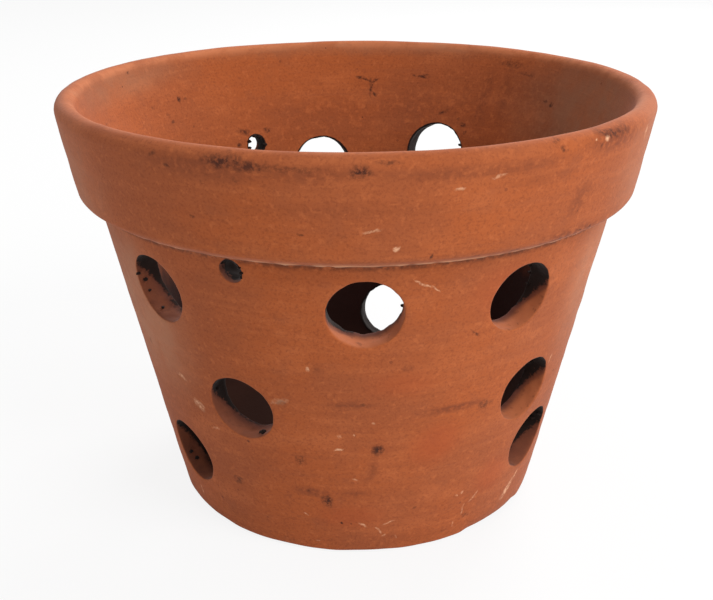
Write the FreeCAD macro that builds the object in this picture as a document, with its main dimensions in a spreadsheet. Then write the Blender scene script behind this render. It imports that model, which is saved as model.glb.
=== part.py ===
import FreeCAD, Part
import math
import os

import Sketcher

# Orchid pot: one thrown and fired terracotta pot with a plain rim band, three rows of
# round air holes cut through its wall, three small hanger holes under the band and a
# drain hole in its floor. Millimetres. The pot stands on z = 0 with its axis on Z, and
# its front faces -Y. Azimuths are in degrees from the front, positive towards +X.

NODE = "pot_body"

# Driving dimensions: alias, value, what it measures.
SIZES = (
    ("rim_diameter", 175.0, "widest point of the lip"),
    ("pot_height", 126.0, "floor to the top of the lip"),
    ("foot_diameter", 114.0, "wall line where it meets the ground"),
    ("shoulder_diameter", 155.0, "wall where the band starts"),
    ("band_height", 30.2, "top of the lip down to where the band starts"),
    ("band_rise", 3.0, "height of the band's sloping underside"),
    ("band_step", 5.6, "how far the band's lower corner stands out from the shoulder"),
    ("band_corner_round", 2.6, "radius of the band's lower corner"),
    ("lip_round", 3.0, "radius of the fully rounded lip"),
    ("wall_thickness", 7.0, "wall, square to its face"),
    ("floor_thickness", 9.0, "floor of the pot"),
    ("foot_round", 1.2, "radius of the foot's outer edge"),
    ("floor_round", 9.0, "radius where the wall meets the floor inside"),
    ("air_hole_diameter", 20.0, "cutter of the round air holes"),
    ("air_hole_tilt", 8.0, "degrees by which an air hole rises going inwards"),
    ("upper_row_share", 0.8455, "upper row's height, as a share of the wall below the band"),
    ("middle_row_share", 0.496, "middle row's height, as a share of the same"),
    ("lower_row_share", 0.261, "lower row's height, as a share of the same"),
    ("hanger_hole_diameter", 6.7, "hole for a hanging wire"),
    ("hanger_drop", 3.6, "band's start down to the middle of a hanger hole"),
    ("drain_diameter", 22.0, "hole in the middle of the floor"),
    ("cut_overrun", 5.0, "how far a cutter runs past the face that it leaves by"),
)

# Holes were cut by hand, so each has an angle of its own round the pot, and a lift share:
# how far it sits above its row, as a share of its own diameter.
UPPER_ANGLES = (-88.0, -46.7, 1.7, 35.7, 77.5, 115.0, 155.3, 190.4, 232.0)
UPPER_LIFT_SHARES = (0.0, -0.04, 0.04, 0.0, -0.33, -0.1, 0.37, 0.09, 0.02)
MIDDLE_ANGLES = (-79.0, -28.4, 45.6, 96.0, 147.0, 214.0)
MIDDLE_LIFT_SHARES = (-0.32, 0.03, 0.01, -0.05, 0.06, 0.0)
LOWER_ANGLES = (-53.5, 55.4, 167.9)
LOWER_LIFT_SHARES = (-0.12, 0.05, 0.2)
HANGER_ANGLES = (-24.3, 95.0, -149.2)
HANGER_LIFT_SHARES = (0.02, 0.0, 0.0)

# Height of the wall below the band, as the sheet gives it.
SHOULDER_HEIGHT = "(sizes.pot_height - sizes.band_height)"

doc = FreeCAD.newDocument("orchid_pot")


def make_sheet():
    """Spreadsheet of the driving dimensions, one aliased plain number to a row."""
    sheet = doc.addObject("Spreadsheet::Sheet", "sizes")
    for row, (alias, value, meaning) in enumerate(SIZES, start=1):
        sheet.set("A%d" % row, alias)
        sheet.set("B%d" % row, repr(value))
        sheet.setAlias("B%d" % row, alias)
        sheet.set("C%d" % row, meaning)
    doc.recompute()
    return sheet


def origin_plane(body, role):
    """The body's own origin plane with this role."""
    return next(plane for plane in body.Origin.OriginFeatures if plane.Role == role)


def profile_points(size):
    """Corners of the half section, as (radius, height), in the order they are joined."""
    foot = size.foot_diameter / 2
    shoulder = size.shoulder_diameter / 2
    shoulder_height = size.pot_height - size.band_height
    lean = math.atan2(shoulder - foot, shoulder_height)
    level_wall = size.wall_thickness / math.cos(lean)
    return {
        "axis_bottom": (0, 0),
        "foot": (foot, 0),
        "shoulder": (shoulder, shoulder_height),
        "band_corner": (shoulder + size.band_step, shoulder_height + size.band_rise),
        "lip_middle": (size.rim_diameter / 2 - size.lip_round, size.pot_height - size.lip_round),
        "knee": (shoulder - level_wall, shoulder_height),
        "floor_corner": (
            foot - level_wall + size.floor_thickness * math.tan(lean),
            size.floor_thickness,
        ),
        "axis_floor": (0, size.floor_thickness),
    }


def tangent_angle(middle, radius, point, side):
    """Angle on the lip's circle where the line from this outside point touches it."""
    across = math.atan2(point[1] - middle[1], point[0] - middle[0])
    away = math.dist(middle, point)
    return across + side * math.acos(radius / away)


def add_profile(body, size):
    """Half section of the pot, drawn on the XZ plane and tied to the sheet."""
    sketch = body.newObject("Sketcher::SketchObject", "half_section")
    sketch.AttachmentSupport = [(origin_plane(body, "XZ_Plane"), "")]
    sketch.MapMode = "FlatFace"
    place = {name: FreeCAD.Vector(*xy, 0) for name, xy in profile_points(size).items()}
    middle = place["lip_middle"]
    radius = size.lip_round
    outer = tangent_angle(middle[:2], radius, place["band_corner"][:2], 1)
    inner = tangent_angle(middle[:2], radius, place["knee"][:2], -1) + 2 * math.pi
    lip = Part.ArcOfCircle(Part.Circle(middle, FreeCAD.Vector(0, 0, 1), radius), outer, inner)
    place["lip_outside"] = lip.StartPoint
    place["lip_inside"] = lip.EndPoint

    def add_line(first, last):
        return sketch.addGeometry(Part.LineSegment(place[first], place[last]), False)

    floor_line = add_line("axis_bottom", "foot")
    wall_line = add_line("foot", "shoulder")
    under_band = add_line("shoulder", "band_corner")
    band_face = add_line("band_corner", "lip_outside")
    flare = add_line("lip_inside", "knee")
    inside = add_line("knee", "floor_corner")
    floor_top = add_line("floor_corner", "axis_floor")
    axis_line = add_line("axis_floor", "axis_bottom")
    arc = sketch.addGeometry(lip, False)

    start, end, centre = range(1, 4)
    joined = ((floor_line, wall_line), (wall_line, under_band), (under_band, band_face),
              (flare, inside), (inside, floor_top), (floor_top, axis_line),
              (axis_line, floor_line))
    for first, second in joined:
        sketch.addConstraint(Sketcher.Constraint("Coincident", first, end, second, start))
    sketch.addConstraint(Sketcher.Constraint("Tangent", band_face, end, arc, start))
    sketch.addConstraint(Sketcher.Constraint("Tangent", arc, end, flare, start))
    sketch.addConstraint(Sketcher.Constraint("Coincident", floor_line, start, -1, start))
    sketch.addConstraint(Sketcher.Constraint("Horizontal", floor_line))
    sketch.addConstraint(Sketcher.Constraint("Horizontal", floor_top))
    sketch.addConstraint(Sketcher.Constraint("Vertical", axis_line))

    half_foot = "sizes.foot_diameter / 2"
    half_shoulder = "sizes.shoulder_diameter / 2"
    lean = "atan2(%s - %s; %s)" % (half_shoulder, half_foot, SHOULDER_HEIGHT)
    level_wall = "sizes.wall_thickness / cos(%s)" % lean
    tied = (
        (wall_line, start, half_foot, None),
        (wall_line, end, half_shoulder, SHOULDER_HEIGHT),
        (under_band, end, half_shoulder + " + sizes.band_step",
         SHOULDER_HEIGHT + " + sizes.band_rise"),
        (arc, centre, "sizes.rim_diameter / 2 - sizes.lip_round",
         "sizes.pot_height - sizes.lip_round"),
        (inside, start, "%s - %s" % (half_shoulder, level_wall), SHOULDER_HEIGHT),
        (inside, end, "%s - %s + sizes.floor_thickness * tan(%s)" % (half_foot, level_wall, lean),
         "sizes.floor_thickness"),
    )
    for geometry, point, across, up in tied:
        spot = sketch.getPoint(geometry, point)
        for kind, value, expression in (("DistanceX", spot.x, across), ("DistanceY", spot.y, up)):
            if expression:
                tie = Sketcher.Constraint(kind, -1, 1, geometry, point, value)
                sketch.setExpression("Constraints[%d]" % sketch.addConstraint(tie), expression)
    tie = sketch.addConstraint(Sketcher.Constraint("Radius", arc, radius))
    sketch.setExpression("Constraints[%d]" % tie, "sizes.lip_round")
    return sketch


def ring_edge(shape, radius, height):
    """Name of the round edge nearest to this radius and height."""
    def miss(edge):
        centre = edge.Curve.Center
        return math.hypot(edge.Curve.Radius - radius, centre.z - height)

    rings = [(miss(edge), number) for number, edge in enumerate(shape.Edges, start=1)
             if isinstance(edge.Curve, Part.Circle)]
    return "Edge%d" % min(rings)[1]


def add_fillet(body, base, name, corner, expression):
    """Round the ring edge at this corner of the half section."""
    fillet = body.newObject("PartDesign::Fillet", name)
    fillet.Base = (base, [ring_edge(base.Shape, *corner)])
    fillet.setExpression("Radius", expression)
    doc.recompute()
    return fillet


def add_turned_body(size):
    """The pot as it comes off the wheel: section turned about Z, then edges rounded."""
    body = doc.addObject("PartDesign::Body", NODE)
    body.Label = NODE
    body.Placement = FreeCAD.Placement()
    sketch = add_profile(body, size)
    turned = body.newObject("PartDesign::Revolution", "turned")
    turned.Profile = sketch
    turned.ReferenceAxis = (sketch, ["V_Axis"])
    turned.Angle = 360
    doc.recompute()
    corners = profile_points(size)
    fillet = add_fillet(body, turned, "foot_edge", corners["foot"], "sizes.foot_round")
    fillet = add_fillet(body, fillet, "floor_edge", corners["floor_corner"], "sizes.floor_round")
    add_fillet(body, fillet, "band_edge", corners["band_corner"], "sizes.band_corner_round")
    return body


def add_cutter(body, name, diameter, length, place):
    """Cut one round hole; the cutter runs along its own Z from its place."""
    cutter = body.newObject("PartDesign::SubtractiveCylinder", name)
    cutter.setExpression("Radius", diameter + " / 2")
    cutter.setExpression("Height", length)
    cutter.setExpression("Placement", place)
    return cutter


def wall_hole_place(azimuth, height):
    """Place of a cutter that starts inside the wall and leaves it outwards and down."""
    face_radius = ("sizes.foot_diameter / 2 + (sizes.shoulder_diameter - sizes.foot_diameter) / 2"
                   " * (%s) / %s" % (height, SHOULDER_HEIGHT))
    reach = "(sizes.wall_thickness + sizes.cut_overrun)"
    tilt = "sizes.air_hole_tilt * 1 deg"
    base_radius = "(%s - %s * cos(%s))" % (face_radius, reach, tilt)
    base = "vector(%s * sin(%r deg); -%s * cos(%r deg); %s + %s * sin(%s))" % (
        base_radius, azimuth, base_radius, azimuth, height, reach, tilt)
    turn = "rotation(%r deg; 90 deg + %s; 0 deg)" % (azimuth - 90, tilt)
    return "placement(%s; %s)" % (base, turn)


def add_hole_row(body, name, angles, lift_shares, diameter, height):
    """Cut one row of holes through the wall."""
    length = "sizes.wall_thickness + 2 * sizes.cut_overrun"
    for number, (azimuth, lift_share) in enumerate(zip(angles, lift_shares), start=1):
        hole_height = "%s + %r * %s" % (height, lift_share, diameter)
        place = wall_hole_place(azimuth, hole_height)
        add_cutter(body, "%s_%d" % (name, number), diameter, length, place)


def add_drain(body):
    """Cut the drain hole up through the floor."""
    place = "placement(vector(0; 0; -sizes.cut_overrun); rotation(0; 0; 0))"
    length = "sizes.floor_thickness + 2 * sizes.cut_overrun"
    add_cutter(body, "drain", "sizes.drain_diameter", length, place)


def check_document():
    """Stop if any object failed to compute, or the pot is empty or not valid."""
    for item in doc.Objects:
        if "Invalid" in item.State or "Error" in item.State:
            raise RuntimeError("%s did not compute: %s" % (item.Name, item.State))


def export(body):
    """Write the pot under its node name."""
    shape = body.Shape
    if shape.isNull() or not shape.isValid() or len(shape.Solids) != 1:
        raise RuntimeError("%s is not one valid solid" % body.Label)
    os.makedirs("parts", exist_ok=True)
    shape.exportStep("parts/%s.step" % body.Label)
    box = shape.BoundBox
    print("%s: %.1f x %.1f x %.1f mm, %.1f cm3"
          % (body.Label, box.XLength, box.YLength, box.ZLength, shape.Volume / 1000))


sizes = make_sheet()
pot = add_turned_body(sizes)
for row_name, angles, lift_shares in (("upper", UPPER_ANGLES, UPPER_LIFT_SHARES),
                                      ("middle", MIDDLE_ANGLES, MIDDLE_LIFT_SHARES),
                                      ("lower", LOWER_ANGLES, LOWER_LIFT_SHARES)):
    add_hole_row(pot, row_name + "_hole", angles, lift_shares, "sizes.air_hole_diameter",
                 "%s * sizes.%s_row_share" % (SHOULDER_HEIGHT, row_name))
add_hole_row(pot, "hanger_hole", HANGER_ANGLES, HANGER_LIFT_SHARES, "sizes.hanger_hole_diameter",
             "(%s - sizes.hanger_drop)" % SHOULDER_HEIGHT)
add_drain(pot)
doc.recompute()
check_document()
export(pot)
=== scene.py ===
import itertools
import math

import bmesh
import bpy
import numpy as np
from mathutils import Euler, Matrix, Vector
from mathutils.geometry import delaunay_2d_cdt


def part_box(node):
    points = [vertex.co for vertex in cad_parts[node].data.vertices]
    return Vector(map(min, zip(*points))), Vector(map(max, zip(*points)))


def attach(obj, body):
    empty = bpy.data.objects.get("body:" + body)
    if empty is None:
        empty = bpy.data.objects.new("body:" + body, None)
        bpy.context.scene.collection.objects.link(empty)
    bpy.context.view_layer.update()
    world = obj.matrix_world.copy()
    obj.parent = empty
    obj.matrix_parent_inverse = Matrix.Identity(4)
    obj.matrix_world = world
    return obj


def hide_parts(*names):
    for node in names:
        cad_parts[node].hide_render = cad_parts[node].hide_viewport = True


# Orchid pot: one thrown and fired terracotta pot with round air holes, seen on a pale
# floor. The pot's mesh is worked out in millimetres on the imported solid's sizes and then
# scaled to metres. Azimuths are in degrees from the front (-Y), positive towards +X.

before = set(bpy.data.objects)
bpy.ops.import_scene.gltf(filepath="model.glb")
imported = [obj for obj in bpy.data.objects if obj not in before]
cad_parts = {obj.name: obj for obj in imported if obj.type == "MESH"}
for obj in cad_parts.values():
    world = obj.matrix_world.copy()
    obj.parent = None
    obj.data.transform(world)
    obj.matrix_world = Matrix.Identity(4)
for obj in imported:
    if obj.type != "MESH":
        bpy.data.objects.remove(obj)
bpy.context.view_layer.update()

MM = 0.001
NODE = "pot_body"

# Turned section, in millimetres. The rim and the height come from the frame.
lowest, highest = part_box(NODE)
RIM_RADIUS = (highest.x - lowest.x) / 2 / MM
POT_HEIGHT = highest.z / MM
FOOT_RADIUS = 57.0
SHOULDER_RADIUS = 77.5
BAND_HEIGHT = 30.2
BAND_RISE = 3.0
BAND_STEP = 5.6
BAND_CORNER_ROUND = 2.6
LIP_ROUND = 3.0
WALL_THICKNESS = 7.0
FLOOR_THICKNESS = 9.0
FOOT_ROUND = 1.2
FLOOR_ROUND = 9.0
DRAIN_RADIUS = 11.0
DRAIN_EDGE_ROUND = 0.8
SHOULDER_HEIGHT = POT_HEIGHT - BAND_HEIGHT
LEAN = math.atan2(SHOULDER_RADIUS - FOOT_RADIUS, SHOULDER_HEIGHT)

# Holes cut through the wall: row heights in millimetres, then (azimuth, height above the
# row) for each hole.
AIR_HOLE_RADIUS = 10.0
HANGER_HOLE_RADIUS = 3.35
HOLE_TILT = math.radians(8.0)
UPPER_ROW_HEIGHT = 81.0
MIDDLE_ROW_HEIGHT = 47.5
LOWER_ROW_HEIGHT = 25.0
HANGER_ROW_HEIGHT = 92.2
UPPER_ROW = ((-88.0, 0.0), (-46.7, -0.8), (1.7, 0.8), (35.7, 0.0), (77.5, -6.6),
             (115.0, -2.0), (155.3, 7.4), (190.4, 1.8), (232.0, 0.4))
MIDDLE_ROW = ((-79.0, -6.4), (-28.4, 0.6), (45.6, 0.2), (96.0, -1.0), (147.0, 1.2), (214.0, 0.0))
LOWER_ROW = ((-53.5, -2.4), (55.4, 1.0), (167.9, 4.0))
HANGER_ROW = ((-24.3, 0.0), (95.0, 0.0), (-149.2, 0.0))

# Mesh fineness, in millimetres unless it is a count.
COLUMNS = 360
SEAM_AZIMUTH = -108.0
OUTER_GRAIN = 1.35
INNER_GRAIN = 1.9
AIR_HOLE_POINTS = 72
HANGER_HOLE_POINTS = 40
LIP_INSIDE_POINTS = 17
EDGE_ROUND_SHARE = 0.035
SOFT_EDGE_SHARE = 0.3
HOLE_RING_GAPS = (0.9, 2.0)
RING_MARGIN = 0.4
CUT_RINGS = 8
CUT_START = 0.05
CUT_SPAN = 0.9
FLARE_CUT_SHARE = 0.24
LONGEST_CUT = 16.0
HALVINGS = 40

# Room that the rows of a face leave, as shares of the grain: at the seam and round a hole.
SEAM_ROOM = 0.4
HOLE_ROOM = 0.6


def length_of(vector):
    """Length of a plain vector."""
    return float(np.linalg.norm(vector))


def rounded_corner(before, corner, after, radius, steps):
    """Arc that rounds a corner of the section, from the line coming in to the one leaving."""
    before, corner, after = (np.array(point, float) for point in (before, corner, after))
    back = (before - corner) / length_of(before - corner)
    onward = (after - corner) / length_of(after - corner)
    half = math.acos(float(back @ onward)) / 2
    middle = (back + onward) / length_of(back + onward)
    centre = corner + middle * radius / math.sin(half)
    reach = radius / math.tan(half)
    return arc(centre, corner + back * reach, corner + onward * reach, steps)


def arc(centre, start, end, steps):
    """Points on the shorter arc about a centre, both ends included."""
    first = math.atan2(start[1] - centre[1], start[0] - centre[0])
    last = math.atan2(end[1] - centre[1], end[0] - centre[0])
    turn = (last - first + math.pi) % math.tau - math.pi
    radius = length_of(np.subtract(start, centre))
    return [(centre[0] + radius * math.cos(first + turn * k / steps),
             centre[1] + radius * math.sin(first + turn * k / steps)) for k in range(steps + 1)]


def line(start, end, steps):
    """Points along a straight run, without its two ends."""
    return [tuple(np.array(start) + (np.array(end) - np.array(start)) * k / steps)
            for k in range(1, steps)]


def touching_point(centre, radius, point, side):
    """Where the line from an outside point touches a circle."""
    across = math.atan2(point[1] - centre[1], point[0] - centre[0])
    angle = across + side * math.acos(radius / math.dist(centre, point))
    return (centre[0] + radius * math.cos(angle), centre[1] + radius * math.sin(angle))


def section_runs():
    """The section's five stretches, as lists of (radius, height).

    The foot run goes from the drain's lower edge out to the wall. The outer face, which
    the holes cut, goes up to the band's lower corner. The band run goes over the lip, the
    inner face down the wall again, and the floor run back to the drain. A whole number at
    the end of a call is how many steps that stretch has.
    """
    level_wall = WALL_THICKNESS / math.cos(LEAN)
    drain_low = (DRAIN_RADIUS, 0.0)
    foot = (FOOT_RADIUS, 0.0)
    shoulder = (SHOULDER_RADIUS, SHOULDER_HEIGHT)
    band_corner = (SHOULDER_RADIUS + BAND_STEP, SHOULDER_HEIGHT + BAND_RISE)
    lip_centre = (RIM_RADIUS - LIP_ROUND, POT_HEIGHT - LIP_ROUND)
    knee = (SHOULDER_RADIUS - level_wall, SHOULDER_HEIGHT)
    floor_corner = (FOOT_RADIUS - level_wall + FLOOR_THICKNESS * math.tan(LEAN), FLOOR_THICKNESS)
    drain_high = (DRAIN_RADIUS, FLOOR_THICKNESS)
    lip_out = touching_point(lip_centre, LIP_ROUND, band_corner, 1)
    lip_in = touching_point(lip_centre, LIP_ROUND, knee, -1)
    crown = (lip_centre[0], lip_centre[1] + LIP_ROUND)

    foot_arc = rounded_corner(drain_low, foot, shoulder, FOOT_ROUND, 5)
    foot_run = [drain_low] + line(drain_low, foot_arc[0], 12) + foot_arc

    corner_arc = rounded_corner(shoulder, band_corner, lip_out, BAND_CORNER_ROUND, 12)
    lip_arc = arc(lip_centre, lip_out, crown, 7) + arc(lip_centre, crown, lip_in, 8)[1:]
    outer_face = [foot_arc[-1], shoulder, corner_arc[0]]
    band_run = corner_arc + line(corner_arc[-1], lip_arc[0], 18) + lip_arc
    flare_top = tuple(np.array(knee) + (np.array(lip_arc[-1]) - np.array(knee)) * FLARE_CUT_SHARE)
    band_run += line(lip_arc[-1], flare_top, 13) + [flare_top]

    floor_arc = rounded_corner(knee, floor_corner, drain_high, FLOOR_ROUND, 7)
    inner_face = [floor_arc[0], knee, flare_top]
    high_edge = rounded_corner(floor_corner, drain_high, drain_low, DRAIN_EDGE_ROUND, 3)
    floor_run = (floor_arc + line(floor_arc[-1], high_edge[0], 16) + high_edge
                 + line(high_edge[-1], drain_low, 5))
    return foot_run, outer_face, band_run, inner_face, floor_run


class Mesh:
    """Vertices and faces as they are made, with what the material has to know of each."""

    def __init__(self):
        self.points = []
        self.faces = []
        self.inside = []
        self.cut = []

    def add(self, points, inside=0.0, cut=0.0):
        """Add vertices and return their numbers."""
        first = len(self.points)
        self.points.extend(np.asarray(points, float).tolist())
        self.inside.extend([inside] * len(points))
        self.cut.extend([cut] * len(points))
        return np.arange(first, first + len(points))

    def bridge(self, ring, next_ring):
        """Join two closed rings of equal count with quads."""
        for k in range(len(ring)):
            onward = (k + 1) % len(ring)
            self.faces.append((ring[k], ring[onward], next_ring[onward], next_ring[k]))


def on_circle(radius, height, azimuths):
    """Points at a radius and height, at these azimuths in radians."""
    radius, height, azimuths = np.broadcast_arrays(radius, height, azimuths)
    return np.stack([radius * np.sin(azimuths), -radius * np.cos(azimuths), height], axis=-1)


COLUMN_AZIMUTHS = math.radians(SEAM_AZIMUTH) + np.arange(COLUMNS) * math.tau / COLUMNS


def add_rings(mesh, run, inside_from=None):
    """Turn a run of the section and return its rings, lowest number first."""
    rings = []
    for k, (radius, height) in enumerate(run):
        inside = 1.0 if inside_from is not None and k >= inside_from else 0.0
        rings.append(mesh.add(on_circle(radius, height, COLUMN_AZIMUTHS), inside))
    for ring, next_ring in zip(rings, rings[1:]):
        mesh.bridge(ring, next_ring)
    return rings


class Face:
    """A turned face that holes are cut through: points of the section, going up."""

    def __init__(self, section):
        self.radii, self.heights = np.array(section).T
        runs = np.hypot(np.diff(self.radii), np.diff(self.heights))
        self.lengths = np.concatenate([[0.0], np.cumsum(runs)])
        self.middle_radius = (self.radii[0] + self.radii[-1]) / 2
        self.width = math.tau * self.middle_radius

    def radius_at(self, height):
        return np.interp(height, self.heights, self.radii)

    def climb_at(self, height):
        """How far up the section a height is, along the face."""
        return np.interp(height, self.heights, self.lengths)

    def height_at(self, climb):
        return np.interp(climb, self.lengths, self.heights)


class Hole:
    """A round hole cut square to the wall, rising a little inwards."""

    def __init__(self, azimuth, height, radius, outer_face, number):
        turn = math.radians(azimuth)
        across = np.array([math.cos(turn), math.sin(turn), 0.0])
        outward = np.array([math.sin(turn), -math.cos(turn), 0.0])
        upward = np.array([0.0, 0.0, 1.0])
        rise = math.sin(HOLE_TILT) * outward + math.cos(HOLE_TILT) * upward
        self.radius = radius
        self.number = number
        self.axis = math.cos(HOLE_TILT) * outward - math.sin(HOLE_TILT) * upward
        self.middle = outer_face.radius_at(height) * outward + height * upward
        self.edge_round = EDGE_ROUND_SHARE * radius
        self.count = AIR_HOLE_POINTS if radius > HANGER_HOLE_RADIUS else HANGER_HOLE_POINTS
        angles = np.arange(self.count) * math.tau / self.count
        self.spokes = np.cos(angles)[:, None] * across + np.sin(angles)[:, None] * rise

    def ring_on(self, face, radius):
        """Where a cylinder of this radius about the hole's axis meets a face."""
        start = self.middle + radius * self.spokes
        near, far = np.full(self.count, -LONGEST_CUT), np.full(self.count, LONGEST_CUT)
        for _ in range(HALVINGS):
            travel = (near + far) / 2
            point = start + travel[:, None] * self.axis
            outside = np.hypot(point[:, 0], point[:, 1]) > face.radius_at(point[:, 2])
            near, far = np.where(outside, near, travel), np.where(outside, travel, far)
        return start + travel[:, None] * self.axis


def unrolled(points, face):
    """Points of a face laid flat, as (distance round, climb)."""
    turn = np.arctan2(points[:, 0], -points[:, 1]) - math.radians(SEAM_AZIMUTH)
    return np.stack([turn % math.tau * face.middle_radius, face.climb_at(points[:, 2])], axis=-1)


def row_climbs(face, grain):
    """Where the rows of the flat layout lie: evenly spread, but with one at each bend."""
    climbs = []
    for low, high in zip(face.lengths, face.lengths[1:]):
        rows = max(1, round((high - low) / (grain * math.sqrt(3) / 2)))
        climbs += [low + (high - low) * k / rows for k in range(rows)]
    return climbs[1:]


class FlatLayout:
    """A face laid flat for meshing: its points, the vertices that they are, and its edges."""

    def __init__(self):
        self.points = []
        self.numbers = []
        self.edges = []

    def place(self, points, vertex_numbers):
        """Lay down points and return their order numbers."""
        first = len(self.points)
        self.points.extend(Vector(point) for point in points)
        self.numbers.extend(vertex_numbers)
        return list(range(first, first + len(vertex_numbers)))

    def fence(self, order, closed):
        """Keep the edges that join these points in turn."""
        pairs = list(zip(order, order[1:] + order[:1]))
        self.edges.extend(pairs if closed else pairs[:-1])

    def triangles(self):
        """The three vertex numbers of each triangle between the points."""
        result = delaunay_2d_cdt(self.points, self.edges, [], 0, 1e-6, True)
        return [[int(self.numbers[result[3][corner][0]]) for corner in triangle]
                for triangle in result[2]]


def add_hole_loops(mesh, face, layout, holes, grain, inside):
    """Lay down each hole's edge with the rings round it.

    Returns the holes' loops of vertices, and the flat discs that the rows leave free.
    """
    loops, discs, top = [], [], face.lengths[-1]
    for hole in holes:
        edge = hole.ring_on(face, hole.radius + hole.edge_round)
        loop = mesh.add(edge, inside)
        loops.append(loop)
        layout.fence(layout.place(unrolled(edge, face), list(loop)), closed=True)
        for gap in HOLE_RING_GAPS:
            ring = hole.ring_on(face, hole.radius + gap)
            ring = ring[np.abs(face.climb_at(ring[:, 2]) / top - 0.5) < 0.5 - RING_MARGIN / top]
            layout.place(unrolled(ring, face), list(mesh.add(ring, inside)))
        outermost = unrolled(hole.ring_on(face, hole.radius + HOLE_RING_GAPS[-1]), face)
        discs.append((outermost.mean(axis=0), np.ptp(outermost, axis=0) / 2 + HOLE_ROOM * grain))
    return loops, discs


def add_rows(mesh, face, layout, discs, grain, inside):
    """Lay down the staggered rows that fill a face between its holes."""
    width, seam_azimuth = face.width, math.radians(SEAM_AZIMUTH)
    across = max(3, round(width / grain))
    for row, climb in enumerate(row_climbs(face, grain)):
        height = float(face.height_at(climb))
        steps = (np.arange(across) + 0.5 * (row % 2)) * width / across
        steps = steps[(steps > SEAM_ROOM * grain) & (steps < width - SEAM_ROOM * grain)]
        for centre, half in discs:
            away = ((steps - centre[0]) / half[0]) ** 2 + ((climb - centre[1]) / half[1]) ** 2
            steps = steps[away > 1]
        radius = float(face.radius_at(height))
        seam = mesh.add(on_circle(radius, height, [seam_azimuth]), inside)
        layout.place([(0.0, climb), (width, climb)], [seam[0], seam[0]])
        new = mesh.add(on_circle(radius, height, steps / face.middle_radius + seam_azimuth), inside)
        layout.place([(step, climb) for step in steps], list(new))


def add_wall(mesh, face, low_ring, high_ring, holes, grain, inside):
    """Mesh one face of the wall between two rings, and return the loop of each hole.

    The flat layout is one full turn wide, and its two ends are the same vertices.
    """
    layout = FlatLayout()
    steps = np.arange(COLUMNS + 1) * face.width / COLUMNS
    for ring, climb in ((low_ring, 0.0), (high_ring, face.lengths[-1])):
        around = list(ring) + [ring[0]]
        layout.fence(layout.place([(step, climb) for step in steps], around), closed=False)
    loops, discs = add_hole_loops(mesh, face, layout, holes, grain, inside)
    add_rows(mesh, face, layout, discs, grain, inside)

    loop_of = {int(vertex): k for k, loop in enumerate(loops) for vertex in loop}
    for corners in layout.triangles():
        owners = {loop_of.get(corner) for corner in corners}
        covers_hole = len(owners) == 1 and None not in owners
        if not covers_hole and len(set(corners)) == 3:
            mesh.faces.append(tuple(corners))
    return loops


def add_cut(mesh, hole, outer_face, inner_face, outer_loop, inner_loop):
    """Join a hole's outer and inner edges with its cut face, edges softened.

    Returns the rings of the cut, from the outer edge to the inner one.
    """
    outer = hole.ring_on(outer_face, hole.radius)
    inner = hole.ring_on(inner_face, hole.radius)
    soft = SOFT_EDGE_SHARE * hole.edge_round
    outer_soft = hole.ring_on(outer_face, hole.radius + soft) - soft * hole.axis
    inner_soft = hole.ring_on(inner_face, hole.radius + soft) + soft * hole.axis
    rings = [outer_loop, mesh.add(outer_soft, cut=0.5)]
    for k in range(CUT_RINGS + 1):
        share = CUT_START + CUT_SPAN * k / CUT_RINGS
        rings.append(mesh.add(outer * (1 - share) + inner * share, inside=share * 0.5, cut=1.0))
    rings += [mesh.add(inner_soft, inside=1.0, cut=0.5), inner_loop]
    for ring, next_ring in zip(rings, rings[1:]):
        mesh.bridge(ring, next_ring)
    return rings


def knot_value(cells, seed):
    """A fixed pseudo-random number from -1 to 1 for each whole-number cell."""
    mixed = (cells[:, 0] * 73856093) ^ (cells[:, 1] * 19349663) ^ (cells[:, 2] * 83492791)
    mixed = (mixed ^ (seed * 2654435761)) & 0xFFFFFFFF
    mixed = ((mixed ^ (mixed >> 15)) * 2246822519) & 0xFFFFFFFF
    mixed = ((mixed ^ (mixed >> 13)) * 3266489917) & 0xFFFFFFFF
    return (mixed ^ (mixed >> 16)) / 0x7FFFFFFF - 1


def waves(points, size, seed):
    """Smooth random field over points in millimetres, with knots this size apart."""
    spread = np.asarray(points, float) / size
    cells = np.floor(spread).astype(np.int64)
    part = spread - cells
    part = part * part * (3 - 2 * part)
    total = np.zeros(len(spread))
    for corner in itertools.product((0, 1), repeat=3):
        corner = np.array(corner)
        weight = np.prod(np.where(corner, part, 1 - part), axis=1)
        total += weight * knot_value(cells + corner, seed)
    return total


def window(values, low, high, soft):
    """One between low and high, falling to zero over a soft margin outside them."""
    rise = np.clip((values - low) / soft + 1, 0, 1)
    fall = np.clip((high - values) / soft + 1, 0, 1)
    share = np.minimum(rise, fall)
    return share * share * (3 - 2 * share)


def hump(values, middle, half_width):
    """Bell of height one about a middle."""
    return np.exp(-((values - middle) / half_width) ** 2)


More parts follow.
